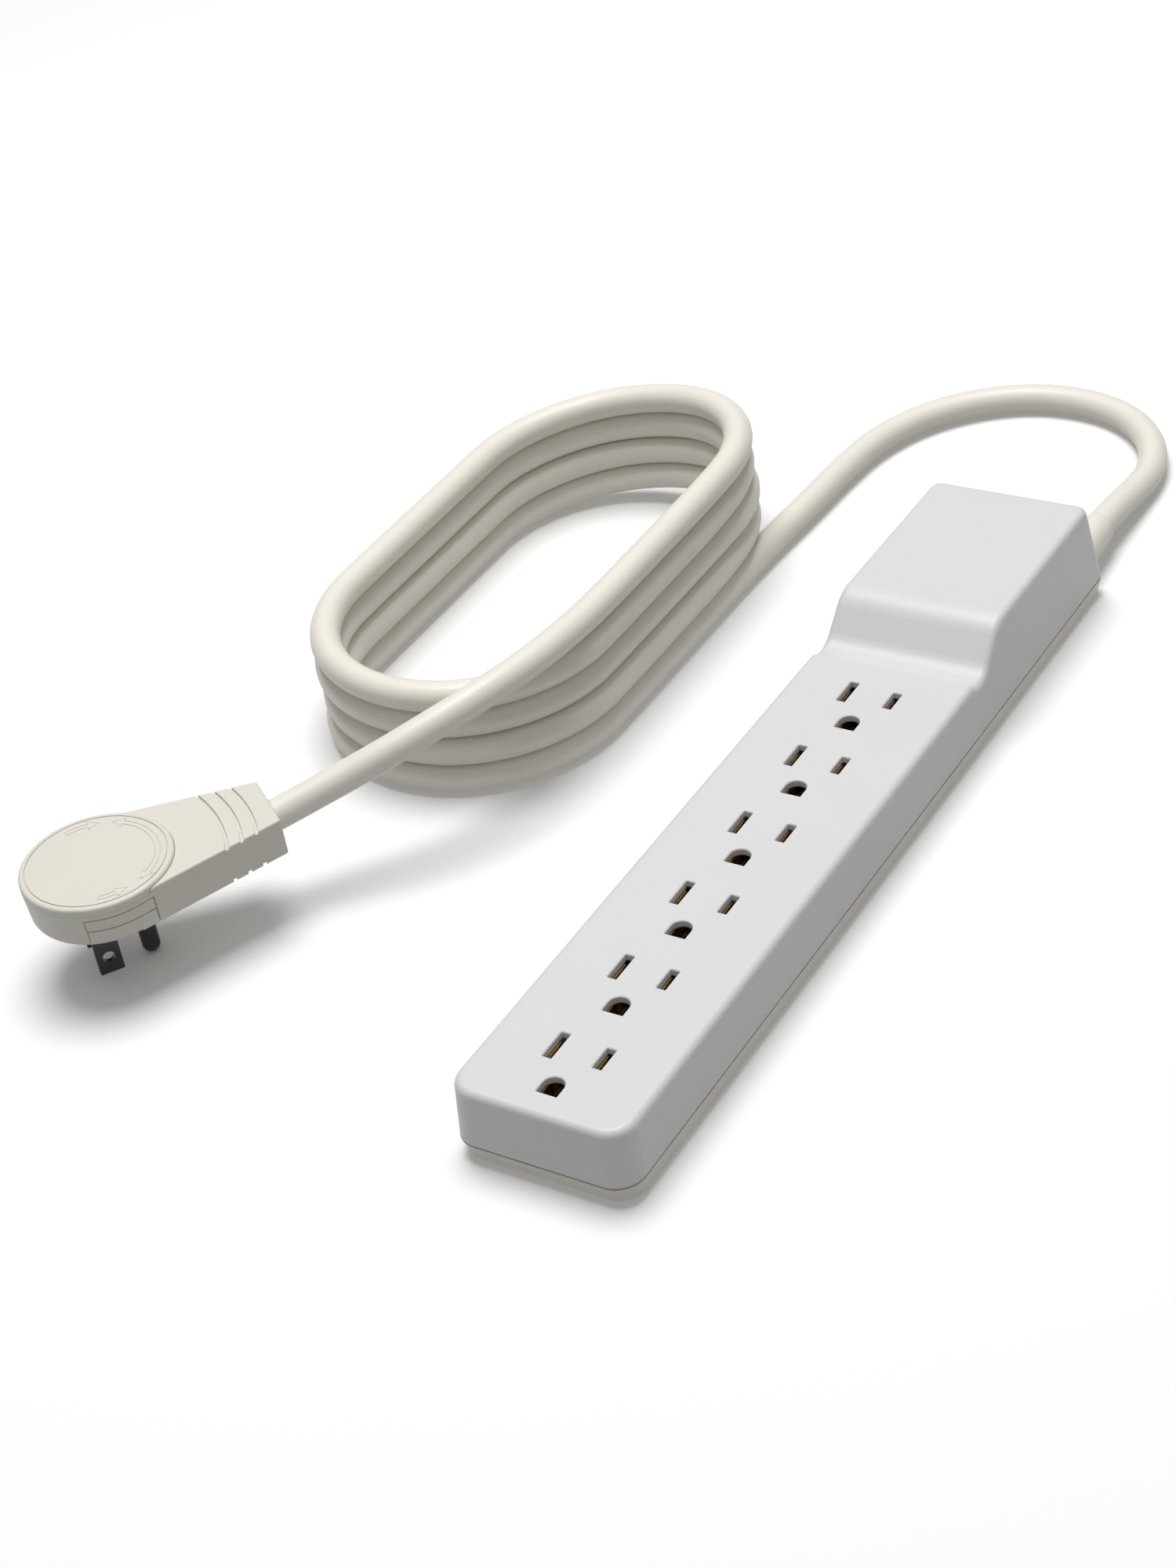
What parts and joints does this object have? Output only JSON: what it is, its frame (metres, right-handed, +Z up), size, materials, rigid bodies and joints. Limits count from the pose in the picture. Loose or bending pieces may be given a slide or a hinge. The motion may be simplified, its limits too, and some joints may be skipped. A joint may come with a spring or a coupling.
{
  "type": "power strip",
  "caption": "Long low power strip with a raised head, a row of grounded outlets, a stacked coil of round cord and a flat plug whose contact disc turns.",
  "frame": {"origin": "bottom centre of the strip itself, without the cord, coil and plug", "axes": "+Y along the strip towards the end the cord leaves, +X across it to the right of that, +Z up"},
  "size_m": [0.187, 0.3521, 0.0431],
  "materials": {
    "cover_plastic": "satin",
    "base_plastic": "satin",
    "screw_steel": "plain",
    "carrier_plastic": "matte",
    "contact_brass": "plain",
    "breaker_plastic": "matte",
    "hot_insulation": "semi-gloss",
    "neutral_insulation": "semi-gloss",
    "ground_insulation": "semi-gloss",
    "cord_pvc": "satin",
    "plug_plastic": "satin",
    "rotor_plastic": "satin",
    "dark_metal": "satin"
  },
  "bodies": {
    "strip": {"top_cover": "cover_plastic", "base_plate": "base_plastic", "case_screws": "screw_steel", "contact_carrier": "carrier_plastic", "hot_bus_bar": "contact_brass", "neutral_bus_bar": "contact_brass", "ground_bus_bar": "contact_brass", "breaker_body": "breaker_plastic", "breaker_terminals": "contact_brass", "hot_wire": "hot_insulation", "breaker_wire": "hot_insulation", "neutral_wire": "neutral_insulation", "ground_wire": "ground_insulation", "strain_relief": "cord_pvc", "cord_lead": "cord_pvc", "cord_coil": "cord_pvc", "cord_tail": "cord_pvc", "plug_housing": "plug_plastic", "plug_cap": "plug_plastic", "line_brush": "contact_brass", "neutral_brush": "contact_brass", "ground_brush": "contact_brass", "plug_wires": "hot_insulation"},
    "plug_disc": {"plug_rotor": "rotor_plastic", "rotor_clip": "screw_steel", "line_blade": "dark_metal", "neutral_blade": "dark_metal", "ground_pin": "dark_metal", "line_slip_ring": "contact_brass", "neutral_slip_ring": "contact_brass", "ground_slip_ring": "contact_brass"},
    "breaker_button": {"reset_button": "breaker_plastic"}
  },
  "joints": [
    {"name": "plug_disc_turn", "type": "hinge", "parent": "strip", "child": "plug_disc", "pos_m": [-0.1431, -0.1023, 0.0217], "axis": [0, 0, 1], "continuous": true},
    {"name": "reset_button_push", "type": "slide", "parent": "strip", "child": "breaker_button", "axis": [0, 1, 0], "range_m": [0, 0.0026]}
  ]
}
